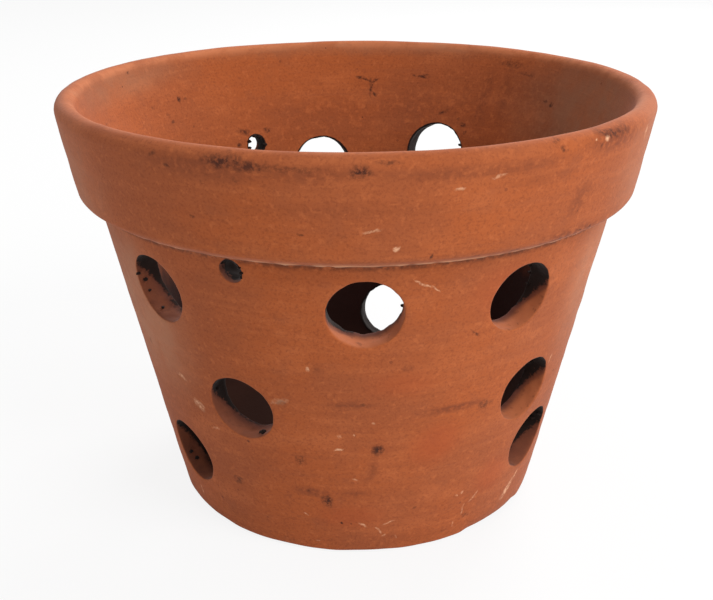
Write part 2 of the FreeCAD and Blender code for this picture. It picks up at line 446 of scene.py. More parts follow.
def build_pot_mesh():
    """The whole pot as one closed mesh, still exactly on the solid's faces."""
    mesh = Mesh()
    foot_run, outer_section, band_run, inner_section, floor_run = section_runs()
    foot_rings = add_rings(mesh, foot_run)
    band_rings = add_rings(mesh, band_run, inside_from=len(band_run) - LIP_INSIDE_POINTS)
    floor_rings = add_rings(mesh, floor_run, inside_from=0)
    mesh.bridge(floor_rings[-1], foot_rings[0])

    outer_face, inner_face = Face(outer_section), Face(inner_section)
    rows = ((UPPER_ROW, UPPER_ROW_HEIGHT, AIR_HOLE_RADIUS),
            (MIDDLE_ROW, MIDDLE_ROW_HEIGHT, AIR_HOLE_RADIUS),
            (LOWER_ROW, LOWER_ROW_HEIGHT, AIR_HOLE_RADIUS),
            (HANGER_ROW, HANGER_ROW_HEIGHT, HANGER_HOLE_RADIUS))
    places = [(azimuth, height + lift, radius) for row, height, radius in rows for azimuth, lift in row]
    holes = [Hole(*place, outer_face, number) for number, place in enumerate(places)]
    outer_loops = add_wall(mesh, outer_face, foot_rings[-1], band_rings[0], holes, OUTER_GRAIN, 0.0)
    inner_loops = add_wall(mesh, inner_face, floor_rings[0], band_rings[-1], holes, INNER_GRAIN, 1.0)
    cuts = [add_cut(mesh, hole, outer_face, inner_face, outer_loop, inner_loop)
            for hole, outer_loop, inner_loop in zip(holes, outer_loops, inner_loops)]
    return mesh, holes, cuts


def make_object(name, points, faces, shade_smooth=True):
    """A mesh object in metres from points in millimetres, its faces turned outwards."""
    data = bpy.data.meshes.new(name)
    data.from_pydata((np.asarray(points) * MM).tolist(), [], [tuple(map(int, face)) for face in faces])
    shape = bmesh.new()
    shape.from_mesh(data)
    bmesh.ops.recalc_face_normals(shape, faces=shape.faces)
    shape.to_mesh(data)
    shape.free()
    data.polygons.foreach_set("use_smooth", [shade_smooth] * len(data.polygons))
    thing = bpy.data.objects.new(name, data)
    bpy.context.scene.collection.objects.link(thing)
    return thing


def read_points(data, kind="co"):
    """A mesh's vertex places in millimetres, or its unit normals."""
    values = np.zeros(len(data.vertices) * 3)
    if kind == "co":
        data.vertices.foreach_get("co", values)
        return values.reshape(-1, 3) / MM
    data.vertex_normals.foreach_get("vector", values)
    return values.reshape(-1, 3)


# Unevenness of the faces: height and distance apart of the waves in millimetres, and seed.
# The turning marks also have how far they change on the way round.
UNEVENNESS = ((0.16, 22.0, 1), (0.05, 6.0, 2))
TURNING_MARKS = ((0.045, 1.7, 3, 0.03), (0.07, 5.0, 4, 0.02))

# The worn foot: wear all round in millimetres, how it varies, and chipped stretches as
# (more wear, from azimuth, to azimuth, soft ends in degrees).
FOOT_WEAR = 0.12
FOOT_WEAR_WAVES = (0.12, 7.0, 6)
FOOT_CHIPS = ((0.3, -62, -46, 8), (0.5, 36, 58, 4))
FOOT_EDGE_HEIGHT = 2.2
FOOT_EDGE_WIDTH = 2.5
FOOT_EDGE_SOFTNESS = 2.0

# The burr under the band: height in millimetres, least share of it, and stretches as
# (share, from azimuth, to azimuth, soft ends in degrees).
BURR_HEIGHT = 0.6
BURR_LEAST = 0.15
BURR_STRETCHES = ((0.65, -14, 14, 9), (0.4, 22, 62, 8), (0.25, -60, -20, 12))
BURR_LEVEL = SHOULDER_HEIGHT + BAND_RISE - 1.9
BURR_HALF_WIDTH = 0.5
BURR_INNER_RADIUS = SHOULDER_RADIUS + 1.5
BURR_SOFTNESS = 1.0

# The burr's raggedness: its mean, how far its waves swing about that, how much the waves
# change along each axis, and their millimetres apart and seed.
RAGGED_MEAN = 0.5
RAGGED_SWING = 0.8
RAGGED_CHANGE = (1, 1, 0.2)
RAGGED_WAVES = (2.2, 5)


def stretches(azimuth, rows):
    """Sum of soft-ended stretches round the pot."""
    return sum(share * window(azimuth, low, high, soft) for share, low, high, soft in rows)


def azimuths_of(points):
    """Azimuth of each point, in degrees from the front."""
    return np.degrees(np.arctan2(points[:, 0], -points[:, 1]))


def burr_share(points):
    """How strongly the ragged burr stands along the band's lower corner."""
    strength = stretches(azimuths_of(points), BURR_STRETCHES) + BURR_LEAST
    ragged = RAGGED_MEAN + RAGGED_SWING * waves(points * RAGGED_CHANGE, *RAGGED_WAVES)
    radius = np.hypot(points[:, 0], points[:, 1])
    on_corner = window(radius, BURR_INNER_RADIUS, RIM_RADIUS, BURR_SOFTNESS)
    on_level = hump(points[:, 2], BURR_LEVEL, BURR_HALF_WIDTH)
    return strength * np.maximum(ragged, 0) * on_level * on_corner


def foot_wear(points):
    """How far the foot's edge is worn back, in millimetres."""
    radius = np.hypot(points[:, 0], points[:, 1])
    on_edge = hump(points[:, 2], 0.0, FOOT_EDGE_HEIGHT)
    on_edge *= window(radius, FOOT_RADIUS - FOOT_EDGE_WIDTH, RIM_RADIUS, FOOT_EDGE_SOFTNESS)
    depth, apart, seed = FOOT_WEAR_WAVES
    wear = FOOT_WEAR + depth * waves(points, apart, seed)
    wear += stretches(azimuths_of(points), FOOT_CHIPS)
    return np.maximum(wear, 0) * on_edge


def shape_surface(points, normals, cut):
    """How the hand and the years left the faces: slight waves, turning marks, burr, worn foot."""
    push = sum(high * waves(points, apart, seed) for high, apart, seed in UNEVENNESS)
    for high, apart, seed, change in TURNING_MARKS:
        turned = points * (1.0, 1.0, 0.0) * change + points * (0, 0, 1)
        push += high * waves(turned, apart, seed) * (1 - cut)
    push += BURR_HEIGHT * burr_share(points)
    push -= foot_wear(points)
    return points + normals * push[:, None]


# Roughness of a hole's cut in millimetres, as (fine, coarse) at its two edges. Between them
# the fine one grows inwards, and the coarse one is a share of it.
OUTER_EDGE_ROUGH = (0.10, 0.0)
INNER_EDGE_ROUGH = (0.14, 0.08)
CUT_ROUGH = 0.10
CUT_ROUGH_GAIN = 0.22
COARSE_SHARE = 0.4

# The cut's waves: millimetres apart, and the seed that the hole's number is added to.
FINE_TEARS = (1.6, 10)
COARSE_TEARS = (4.5, 40)
EDGE_TEARS = (2.6, 70)

# How far the torn inner edge is pulled inwards, from the last ring of the cut outwards, and
# what its waves are raised by, so that more than half of the edge is torn.
TORN_PULLS = (0.25, 0.4, 0.2)
TORN_RAISE = 0.15


def tears(place, hole, apart, seed):
    """Waves along a cut that differ from hole to hole."""
    return waves(place, apart, seed + hole.number)


def tear_hole(points, hole, rings):
    """Leave a hole's cut rough and its inner edge torn."""
    last = len(rings) - 1
    for k, ring in enumerate(rings):
        fine_height = CUT_ROUGH + CUT_ROUGH_GAIN * (k / last)
        heights = (fine_height, COARSE_SHARE * fine_height)
        if k in (0, last):
            heights = OUTER_EDGE_ROUGH if k == 0 else INNER_EDGE_ROUGH
        place = points[ring]
        amount = heights[0] * tears(place, hole, *FINE_TEARS)
        amount += heights[1] * tears(place, hole, *COARSE_TEARS)
        points[ring] = place + hole.spokes * amount[:, None]
    torn = np.clip(tears(points[rings[-1]], hole, *EDGE_TEARS) + TORN_RAISE, 0, 1)
    for ring, pull in zip(rings[::-1], TORN_PULLS):
        points[ring] -= hole.axis * (torn * pull)[:, None]


def srgb(red, green, blue):
    """A colour as read from a screen, 0 to 255, as the linear colour that a shader takes."""
    def linear(value):
        share = value / 255
        return share / 12.92 if share <= 0.04045 else ((share + 0.055) / 1.055) ** 2.4
    return (linear(red), linear(green), linear(blue), 1.0)


MEAN_RADIUS = 75.0
SMEAR_REACH = 1.5
SMEAR_FADE = 1.2

# Marks on the clay: azimuth, height, half length, half width (millimetres), turn in
# degrees and strength. Azimuths of the outside ones are from the front, of the inside ones
# from the back.
OUTSIDE_DARK = (
    (-20.5, 123.4, 4.6, 1.6, -4, 0.9), (-16, 122.6, 4, 1.3, 3, 0.8), (-10, 122.6, 5.5, 0.9, 0, 0.5),
    (-31.1, 120.8, 0.6, 0.5, 0, 0.7), (-27.7, 108, 0.7, 0.6, 20, 0.8),
    (-8.8, 105.9, 0.8, 0.5, -20, 0.8), (-18.7, 119.2, 0.6, 0.6, 0, 0.5),
    (-33.5, 123.2, 0.8, 0.5, 10, 0.6), (-24.8, 117.6, 0.5, 0.5, 0, 0.5),
    (0.7, 122.2, 2.2, 1.7, 10, 0.95), (5, 124.2, 2.8, 0.5, 0, 0.6), (12.4, 100, 1, 0.28, 58, 0.9),
    (33.6, 125.2, 1.1, 0.6, 10, 0.8), (46, 124.6, 4.2, 1, -12, 0.8), (50, 124.4, 3.2, 1.3, 0, 0.6),
    (34.6, 123.5, 1.1, 0.6, -30, 0.7), (43.9, 122.2, 1, 0.35, 70, 0.5), (41, 105.5, 0.7, 0.3, 50, 0.7),
    (-6.8, 96.9, 1.5, 0.5, 0, 0.95), (20.5, 98.4, 1.8, 0.4, 0, 0.6), (28.6, 98, 1.4, 0.5, 4, 0.7),
    (36.6, 98.3, 0.9, 0.4, 30, 0.85), (38.4, 98.6, 0.6, 0.5, 0, 0.9), (43.5, 99.2, 0.7, 0.4, 0, 0.75),
    (46.4, 99.4, 1, 0.4, 10, 0.8), (25.2, 73, 2.2, 0.28, -40, 0.7), (31.2, 48.4, 1.9, 1.3, 0, 0.8),
    (33.2, 48.2, 0.9, 0.9, 0, 0.6), (1.4, 53.9, 0.8, 0.6, 0, 0.55), (-27.8, 37.1, 0.6, 0.5, 0, 0.8),
    (-14.1, 33.7, 2, 1.6, 30, 0.8), (4.9, 38.3, 1.7, 1.7, 45, 0.95), (-33.8, 20.7, 2.2, 1.6, 0, 0.7),
    (-7.9, 19.5, 1.9, 2.1, 15, 0.95), (-4.4, 11.4, 0.45, 0.4, 0, 0.95), (-1.7, 11.4, 0.4, 0.35, 0, 0.8),
    (-0.2, 11.4, 0.35, 0.35, 0, 0.8), (-13, 22.8, 0.9, 0.6, 0, 0.5), (-17.2, 52.8, 1.5, 1.2, 0, 0.55),
    (33, 7.5, 1.9, 0.7, 0, 0.6), (25.8, 3.8, 0.8, 0.6, 0, 0.55), (15.7, 15.8, 0.8, 0.4, 20, 0.55),
    (-7.6, 5, 0.8, 0.5, 0, 0.5), (-60, 58, 1.1, 0.7, 20, 0.5), (62, 66, 0.6, 0.4, 0, 0.6),
    (72, 112, 1.6, 0.8, 0, 0.5), (104, 60, 1.4, 1.1, 0, 0.7), (126, 104, 3, 1.2, 5, 0.6),
    (140, 30, 1.2, 1, 0, 0.8), (172, 62, 2.6, 0.3, 25, 0.7), (-160, 108, 1.2, 0.8, 0, 0.7),
    (-132, 52, 1.5, 1.2, 0, 0.6), (-112, 24, 1, 0.9, 0, 0.7), (-98, 118, 3.4, 1.2, 0, 0.5),
    # The last two rows are painted shade: dark lines along the near edges of two holes at the pot's
    # outline.
    (-71, 41.5, 1.3, 7, 0, 1.0), (70.4, 74.6, 1.3, 7, 0, 1.0),
)
OUTSIDE_BROWN = (
    (20, 120.8, 24, 1.6, 0, 0.5), (33, 117, 12, 1.2, 3, 0.3), (49, 122.8, 11, 3, 0, 0.7),
    (41, 108.5, 5.5, 2.8, 62, 0.55), (42, 99.6, 11, 1.5, 0, 0.75), (11.4, 65.2, 2.8, 0.4, 9, 0.8),
    (-1.5, 53.8, 7.5, 0.9, 0, 0.8), (23, 49.6, 11, 1, 0, 0.9), (-8.6, 65, 1.5, 1.1, 0, 0.7),
    (-12, 22.5, 6.5, 1.4, 0, 0.7), (-1, 22.6, 5, 1.2, 0, 0.6), (3.6, 31, 2, 5, -15, 0.5),
    (-24, 121.6, 15, 3, 0, 0.55), (-8, 121.4, 12, 1.8, 0, 0.45), (-20, 101, 10, 1.8, -4, 0.3),
    (12, 90, 14, 1.6, 0, 0.2), (-5, 112, 22, 1.4, 0, 0.22), (-40, 9, 8, 3, 0, 0.3),
    (8, 4, 22, 2.4, 0, 0.25), (60, 36, 5, 8, 0, 0.2), (112, 84, 14, 2, 0, 0.35),
    (150, 14, 16, 4, 0, 0.4), (-150, 70, 10, 1.2, 3, 0.4), (-125, 12, 12, 4, 0, 0.4),
    (-170, 121, 20, 2.2, 0, 0.4),
)
OUTSIDE_PALE = (
    (2.6, 107.2, 1.8, 0.4, 12, 0.6), (16.2, 116.7, 1.1, 0.4, 10, 0.6), (22.6, 119.2, 1.8, 0.35, 0, 0.5),
    (6.4, 102.5, 0.6, 0.5, -20, 0.95), (45.2, 123.6, 0.8, 0.7, 0, 0.95), (42.4, 124, 0.4, 0.35, 0, 0.8),
    (62.5, 120.4, 1, 1.8, 0, 0.6), (12.4, 90.3, 2.6, 0.32, -24, 0.9), (15.2, 88.4, 1.4, 0.28, -48, 0.6),
    (-46.8, 52.2, 2.2, 0.7, -8, 0.7), (-17.6, 53.4, 2.6, 0.9, 20, 0.5),
    (-42.4, 44.2, 2.4, 1.5, -30, 0.75), (-38, 37.8, 1.5, 0.45, 10, 0.6), (-10.4, 65, 0.55, 0.8, 0, 0.8),
    (-4.6, 38.4, 1.6, 0.36, 8, 0.95), (-4.2, 43, 0.5, 0.5, 0, 0.75), (-0.8, 43.4, 0.3, 0.4, 0, 0.6),
    (3.8, 47.6, 0.5, 0.4, 0, 0.6), (1.4, 10.8, 1.3, 0.4, -12, 0.8), (5.6, 8.4, 1.7, 0.36, -42, 0.85),
    (7.4, 6.4, 0.9, 0.34, 20, 0.8), (8.6, 10.9, 2.3, 0.36, 16, 0.7), (10.6, 5.4, 0.36, 0.9, 10, 0.5),
    (-0.6, 27.8, 0.8, 0.28, -8, 0.7), (-14, 14, 0.9, 0.34, -34, 0.75), (-11.6, 3.6, 0.8, 0.34, 0, 0.6),
    (28.2, 16.8, 0.6, 0.36, 0, 0.8), (29.9, 17.2, 0.5, 0.36, 0, 0.7), (34.6, 14, 2.4, 0.42, 38, 0.6),
    (31.4, 10, 0.4, 1.6, -12, 0.6), (28.6, 5.4, 0.36, 1, 0, 0.5), (50.6, 9.2, 3.8, 1.5, 44, 1.0),
    (53.6, 13, 2, 0.8, 50, 0.7), (-55.2, 6.8, 0.6, 1.9, 4, 0.7), (54.6, 54, 0.5, 1.5, -8, 0.5),
    (88, 40, 1.8, 0.5, 30, 0.7), (108, 98.8, 6, 0.5, 0, 0.6), (130, 68, 2.4, 0.34, -20, 0.8),
    (162, 8, 4, 1.2, 10, 0.6), (178, 112, 3, 0.4, 5, 0.5), (-165, 40, 1.2, 0.9, 0, 0.7),
    (-140, 20, 2.6, 0.5, 40, 0.7), (-120, 78, 1.8, 0.34, -30, 0.6), (-104, 98.4, 5, 0.5, 0, 0.5),
)
OUTSIDE_RED = (
    (19.5, 38.5, 8.5, 6.5, 15, 0.5), (-2, 14, 12, 4, 0, 0.35), (30, 85, 9, 7, 0, 0.3),
    (10, 60, 10, 4, 0, 0.3), (40, 20, 8, 6, 0, 0.4), (150, 50, 12, 7, 0, 0.6), (-130, 34, 9, 6, 0, 0.5),
    (100, 20, 8, 5, 0, 0.5),
)
# Dust outside, partly painted sheen: paler, greyer clay towards the pot's sides.
OUTSIDE_DUST_AND_SHEEN = (
    (-66, 104, 20, 22, 0, 0.3), (-57, 70, 21, 24, 0, 0.55), (66, 112, 16, 18, 0, 0.25),
    (64, 78, 15, 22, 0, 0.35), (150, 60, 30, 30, 0, 0.3), (-140, 100, 30, 20, 0, 0.3),
)
# Dust inside, partly painted sheen: paler, greyer clay towards the sides and rim.
INSIDE_DUST_AND_SHEEN = (
    (-76, 110, 34, 20, 0, 0.65), (70, 122, 30, 5, 0, 0.4), (0, 125, 60, 3, 0, 0.35),
    (150, 112, 30, 16, 0, 0.4),
)
INSIDE_DARK = (
    (-2, 113.6, 2.4, 0.5, 15, 0.95), (-4.2, 110.6, 0.55, 3, 0, 0.95),
    (-5.4, 112.6, 1.4, 0.45, -30, 0.9), (-5.3, 108.2, 1.2, 0.45, 45, 0.9),
    (-18.6, 114.6, 2.2, 0.6, 0, 0.95), (-15.8, 115, 1, 0.4, 30, 0.7), (51.9, 112.2, 1, 0.8, 0, 0.95),
    (49.8, 112, 0.6, 0.5, 0, 0.6), (56.7, 105.7, 1, 0.7, 0, 0.7), (57.4, 107.8, 0.6, 0.5, 0, 0.6),
    (62, 111.5, 0.6, 0.5, 0, 0.6), (65.9, 123.6, 0.9, 0.5, 15, 0.8), (-59.1, 111.2, 1.1, 0.9, 0, 0.95),
    (-56.6, 111.8, 0.8, 0.6, 0, 0.8), (-25.6, 103.3, 1.8, 0.55, -30, 0.85),
    (-32.1, 99.6, 1.4, 0.8, 0, 0.9), (-30.4, 101.4, 0.8, 0.6, 0, 0.8), (-33.2, 97.2, 0.8, 0.7, 0, 0.8),
    (-43, 121.4, 4.5, 0.9, 0, 0.6), (-48, 119, 3, 0.7, 0, 0.5), (34.2, 98, 3, 1.2, 15, 0.8),
    (27, 97.6, 1.3, 0.9, 0, 0.9), (36.6, 93.6, 1.1, 0.9, 0, 0.9), (-20, 96, 1.2, 0.5, 0, 0.5),
    (120, 108, 1.1, 0.8, 0, 0.7), (160, 116, 2.4, 0.5, 15, 0.7), (-130, 110, 1.4, 0.7, 0, 0.7),
)
INSIDE_BROWN = (
    (-37, 108, 2.6, 12, 3, 0.6), (-43, 110, 2, 11, -3, 0.55), (-31, 106, 2, 11, 0, 0.4),
    (-50, 112, 16, 9, 0, 0.3), (-24, 102, 34, 12, 0, 0.4), (8, 100, 30, 9, 0, 0.35),
    (-62, 100, 14, 9, 0, 0.3), (110, 104, 2.6, 14, 0, 0.4), (150, 100, 18, 7, 0, 0.35),
    (-120, 102, 16, 8, 0, 0.35),
)


def painted(azimuth, height, marks):
    """The strongest of a set of soft marks at each point."""
    total = np.zeros(len(azimuth))
    for middle, level, half_length, half_width, turn, strength in marks:
        step = (azimuth - middle + 180) % 360 - 180
        step, climb = step * math.radians(MEAN_RADIUS), height - level
        cosine, sine = math.cos(math.radians(turn)), math.sin(math.radians(turn))
        along = (step * cosine + climb * sine) / half_length
        across = (climb * cosine - step * sine) / half_width
        share = np.clip((SMEAR_REACH - np.hypot(along, across)) / SMEAR_FADE, 0, 1)
        total = np.maximum(total, strength * share * share * (3 - 2 * share))
    return total


# Soil and grime in the holes' cuts, partly painted shade: hole number in build order, clock angle of
# its middle (0 to the right, 90 up), degrees over which it fades, strength, and the share of the cut's
# depth where it starts. A strength below 0.4 leaves a brown film and hardly any soil.
CUT_SOIL_AND_SHADE = (
    (0, 60, 60, 0.6, 0.0), (1, 115, 45, 1.0, 0.0), (1, 200, 400, 0.34, -0.2), (2, 165, 40, 0.9, 0.1),
    (3, 75, 38, 1.0, -0.45), (4, 90, 90, 1.0, 0.2), (5, 200, 60, 0.7, 0.1), (8, 60, 60, 0.8, 0.1),
    (9, 90, 90, 1.0, 0.2), (10, 125, 45, 1.0, 0.0), (10, 230, 400, 0.3, -0.1), (11, 80, 38, 1.0, -0.42),
    (12, 100, 60, 0.8, 0.1), (13, 250, 60, 0.7, 0.1), (15, 110, 55, 1.0, 0.0),
    (15, 180, 400, 0.38, -0.4), (16, 70, 42, 1.0, -0.45), (16, 0, 400, 0.34, -0.3),
    (18, 30, 400, 1.0, 0.35), (19, 200, 90, 0.9, 0.2), (20, 90, 90, 0.9, -0.2), (6, 0, 70, 1.0, -0.6),
    (7, 180, 70, 1.0, -0.6), (17, 0, 80, 1.0, -0.6),
)

# Crumbs of soil stuck in the cuts: hole number, clock angle, depth from the outer edge as
# a share of the cut, and size in millimetres.
CRUMBS = (
    (1, 168, 0.2, 0.6), (1, 186, 0.3, 0.7), (1, 205, 0.3, 0.5), (1, 240, 0.4, 0.5), (2, 25, 0.97, 0.7),
    (2, -12, 0.95, 0.6), (3, 60, 0.7, 0.8), (3, 42, 0.85, 0.9), (3, 25, 0.8, 0.7), (3, -8, 0.85, 0.5),
    (3, 10, 0.9, 0.6), (11, 60, 0.9, 1.0), (11, 30, 0.6, 0.8), (11, 15, 0.75, 0.7), (11, 0, 0.85, 0.6),
    (11, 45, 0.8, 0.7), (11, 20, 0.7, 0.6), (16, 40, 0.3, 0.8), (16, 20, 0.25, 0.7),
    (16, 55, 0.35, 0.8), (16, 5, 0.4, 0.6), (10, 165, 0.4, 0.7), (10, -62, 0.3, 0.9),
    (10, -72, 0.4, 0.6), (10, 20, 0.9, 0.7), (15, 215, 0.35, 0.6), (15, 232, 0.45, 0.7),
    (18, 0, 0.1, 0.6), (18, 25, 0.15, 0.7), (18, -28, 0.2, 0.55), (18, 60, 0.3, 0.6),
    (18, 150, 0.25, 0.5), (20, 80, 0.92, 0.9), (20, 130, 0.95, 0.8), (20, 30, 0.94, 0.8),
    (20, -20, 0.95, 0.7), (20, 190, 0.96, 0.8), (7, 200, 0.95, 0.7), (6, 160, 0.95, 0.7),
    (6, 215, 0.9, 0.6), (12, 80, 0.6, 0.9), (13, 120, 0.7, 0.8), (4, 90, 0.8, 0.8), (8, 70, 0.85, 0.9),
    (5, 200, 0.7, 0.6),
)


SOIL_AND_SHADE_GAIN_INWARDS = 2


def soil_in_cuts(holes, cuts, count):
    """How much soil and painted shade each vertex of the cuts has, and none elsewhere."""
    soil = np.zeros(count)
    for number, middle, fade, strength, start in CUT_SOIL_AND_SHADE:
        angles = np.arange(holes[number].count) * 360 / holes[number].count
        away = np.abs((angles - middle + 180) % 360 - 180) / fade
        for k, ring in enumerate(cuts[number][1:], 1):
            depth = k / (len(cuts[number]) - 1)
            share = np.clip(1 - away + SOIL_AND_SHADE_GAIN_INWARDS * (depth - start), 0, 1) * strength
            soil[ring] = np.maximum(soil[ring], share)
    return soil


CRUMB_SINK = 0.25
CRUMB_FLATNESS = 0.75
CRUMB_ROUGHNESS = 0.2
CRUMB_WAVES = 0.45
CRUMB_SEEDS = (90, 91, 92)


def make_crumbs(holes, cuts, points):
    """Rough lumps of soil, each sunk a little into the clay that it sticks to."""
    shape = bmesh.new()
    for number, clock, depth, size in CRUMBS:
        hole, rings = holes[number], cuts[number]
        spoke = round(clock % 360 / 360 * hole.count) % hole.count
        seat = points[rings[round(depth * (len(rings) - 1))][spoke]]
        middle = Vector(seat - hole.spokes[spoke] * size * CRUMB_SINK)
        place = Matrix.Translation(middle) @ Matrix.Diagonal((size, size, size * CRUMB_FLATNESS, 1.0))
        bmesh.ops.create_icosphere(shape, subdivisions=2, radius=1.0, matrix=place)
    places = np.array([vertex.co[:] for vertex in shape.verts])
    faces = [[vertex.index for vertex in face.verts] for face in shape.faces]
    shape.free()
    rough = np.stack([waves(places, CRUMB_WAVES, seed) for seed in CRUMB_SEEDS], axis=-1)
    crumbs = make_object("soil_crumbs", places + CRUMB_ROUGHNESS * rough, faces, shade_smooth=False)
    paint(crumbs, soil=np.ones(len(places)))
    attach(crumbs, "root")
    return crumbs


def paint(thing, **values):
    """Write numbers on a mesh's vertices for the material to read."""
    for name, numbers in values.items():
        attribute = thing.data.attributes.new(name, "FLOAT", "POINT")
        attribute.data.foreach_set("value", np.asarray(numbers, np.float32))


# Marks painted on the vertices: what the material calls them, those outside and inside.
PAINTED = (("brown", OUTSIDE_BROWN, INSIDE_BROWN), ("dust_and_sheen", OUTSIDE_DUST_AND_SHEEN, INSIDE_DUST_AND_SHEEN),
           ("red", OUTSIDE_RED, ()))


def paint_pot(pot, points, inside, cut, soil):
    """Paint what the material reads on the pot: kinds of face, smears, dust and painted sheen, soil and
    painted shade, and the burr.
    """
    azimuth, height = azimuths_of(points), points[:, 2]
    for name, outside_marks, inside_marks in PAINTED:
        share = painted(azimuth, height, outside_marks) * (1 - inside)
        share += painted(azimuth + 180, height, inside_marks) * inside
        paint(pot, **{name: share})
    paint(pot, inside=inside, cut=cut, soil=soil, burr=burr_share(points))


HIGHEST_WAVE = 0.3


def make_pot():
    """The pot with its worn and hand-cut surface, and the crumbs in its holes."""
    mesh, holes, cuts = build_pot_mesh()
    pot = make_object("terracotta_pot", mesh.points, mesh.faces)
    cut = np.array(mesh.cut)
    points = shape_surface(read_points(pot.data), read_points(pot.data, "normal"), cut)
    for hole, rings in zip(holes, cuts):
        tear_hole(points, hole, rings)
    points[:, 2] = np.clip(points[:, 2], 0.0, POT_HEIGHT + HIGHEST_WAVE)
    pot.data.vertices.foreach_set("co", (points * MM).ravel())
    paint_pot(pot, points, np.array(mesh.inside), cut, soil_in_cuts(holes, cuts, len(points)))
    pot.data.update()
    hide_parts(NODE)
    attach(pot, "root")
    return pot, make_crumbs(holes, cuts, points)


class Graph:
    """Short names for the nodes of one tree."""

    def __init__(self, tree):
        self.tree = tree
        self.tree.nodes.clear()

    def node(self, kind, inputs=(), **settings):
        node = self.tree.nodes.new(kind)
        for name, value in settings.items():
            setattr(node, name, value)
        for name, value in dict(inputs).items():
            self.feed(node.inputs[name], value)
        return node

    def feed(self, socket, value):
        if isinstance(value, bpy.types.NodeSocket):
            self.tree.links.new(value, socket)
        else:
            socket.default_value = value

    def math(self, operation, first, second=0.0, clamp=False):
        return self.node("ShaderNodeMath", {0: first, 1: second}, operation=operation,
                         use_clamp=clamp).outputs[0]

    def times(self, first, second):
        return self.math("MULTIPLY", first, second)

    def vector(self, operation, first, second=(0.0, 0.0, 0.0)):
        node = self.node("ShaderNodeVectorMath", {0: first, 1: second}, operation=operation)
        return node.outputs["Value" if operation in ("LENGTH", "DOT_PRODUCT") else "Vector"]

    def scaled(self, vector, scales):
        return self.vector("MULTIPLY", vector, scales)

    def joined(self, first, second):
        return self.node("ShaderNodeCombineXYZ", {"X": first, "Y": second}).outputs["Vector"]

    def noise(self, vector, scale, detail=3.0, roughness=0.5, output="Fac"):
        node = self.node("ShaderNodeTexNoise", {"Vector": vector, "Scale": scale, "Detail": detail,
                                                "Roughness": roughness})
        return node.outputs[output]

    def spread(self, value, low, high, to_low=0.0, to_high=1.0):
        """Value between low and high, spread to another range and held there."""
        node = self.node("ShaderNodeMapRange", {"Value": value, "From Min": low, "From Max": high,
                                                "To Min": to_low, "To Max": to_high},
                         interpolation_type="SMOOTHSTEP")
        return node.outputs["Result"]

    def mix(self, share, first, second, blend="MIX"):
        node = self.node("ShaderNodeMix", data_type="RGBA", blend_type=blend, clamp_factor=True)
        self.feed(node.inputs[0], share)
        self.feed(node.inputs[6], first)
        self.feed(node.inputs[7], second)
        return node.outputs[2]

    def painted(self, name):
        """Numbers painted on the mesh's vertices."""
        return self.node("ShaderNodeAttribute", attribute_name=name).outputs["Fac"]


def graph_of(owner):
    """A clear graph for a material or a world."""
    owner.use_nodes = True
    return Graph(owner.node_tree)


MARK_WARP = 1.1
MARK_REACH = 1.7
TURN_STEP = 15


def mark_mask(graph, flat, name, marks):
    """Mask that is one where a set of marks covers the clay, with soft edges."""
    tree = bpy.data.node_groups.new(name, "ShaderNodeTree")
    tree.interface.new_socket("Place", in_out="INPUT", socket_type="NodeSocketVector")
    tree.interface.new_socket("Mask", in_out="OUTPUT", socket_type="NodeSocketFloat")
    group = Graph(tree)
    place = group.node("NodeGroupInput").outputs["Place"]
    turned = {}
    total = 0.0
    for azimuth, height, half_length, half_width, turn, strength in marks:
        turn = TURN_STEP * round(turn / TURN_STEP)
        cosine, sine = math.cos(math.radians(turn)), math.sin(math.radians(turn))
        if turn not in turned:
            along = group.vector("DOT_PRODUCT", place, (cosine, sine, 0.0))
            across = group.vector("DOT_PRODUCT", place, (-sine, cosine, 0.0))
            turned[turn] = group.joined(along, across)
        step = azimuth * math.radians(MEAN_RADIUS)
        middle = (step * cosine + height * sine, height * cosine - step * sine)
        local = group.node("ShaderNodeVectorMath", {
            0: turned[turn], 1: (1 / half_length, 1 / half_width, 0.0),
            2: (-middle[0] / half_length, -middle[1] / half_width, 0.0),
        }, operation="MULTIPLY_ADD").outputs["Vector"]
        away = group.vector("DOT_PRODUCT", local, local)
        fading = group.node("ShaderNodeMath", {0: away, 1: -strength / MARK_REACH, 2: strength},
                            operation="MULTIPLY_ADD").outputs[0]
        total = group.math("MAXIMUM", total, fading)
    group.node("NodeGroupOutput", {"Mask": total})
    return graph.node("ShaderNodeGroup", {"Place": flat}, node_tree=tree).outputs["Mask"]


def flat_place(clay, from_back):
    """Distance round the pot and height, in millimetres, with the joint away from the marks."""
    sign = 1.0 if from_back else -1.0
    across = clay.times(clay.parts.outputs["X"], -sign)
    along = clay.times(clay.parts.outputs["Y"], sign)
    around = clay.times(clay.math("ARCTAN2", across, along), MEAN_RADIUS)
    return clay.joined(around, clay.height)


SMALLEST_SPECK = 0.4


def specks(graph, spot, spacing, radius, share):
    """One at small round spots, in this share of the cells of a loose net."""
    cells = graph.node("ShaderNodeTexVoronoi", {"Vector": spot, "Scale": 1 / spacing})
    pick = graph.node("ShaderNodeSeparateColor", {"Color": cells.outputs["Color"]})
    chosen = graph.math("LESS_THAN", pick.outputs["Red"], share)
    size = graph.spread(pick.outputs["Green"], 0.0, 1.0, SMALLEST_SPECK * radius / spacing,
                        radius / spacing)
    near = graph.math("LESS_THAN", cells.outputs["Distance"], size)
    return graph.times(chosen, near)


CLAY = srgb(170, 88, 46)
CLAY_DULL = srgb(152, 82, 50)
CLAY_BRIGHT = srgb(188, 104, 60)
CLAY_RED = srgb(168, 76, 38)
CLAY_GRAIN = srgb(126, 62, 36)
# Worn lip, partly a painted highlight on its top.
WORN_LIP_AND_HIGHLIGHT = srgb(196, 118, 78)
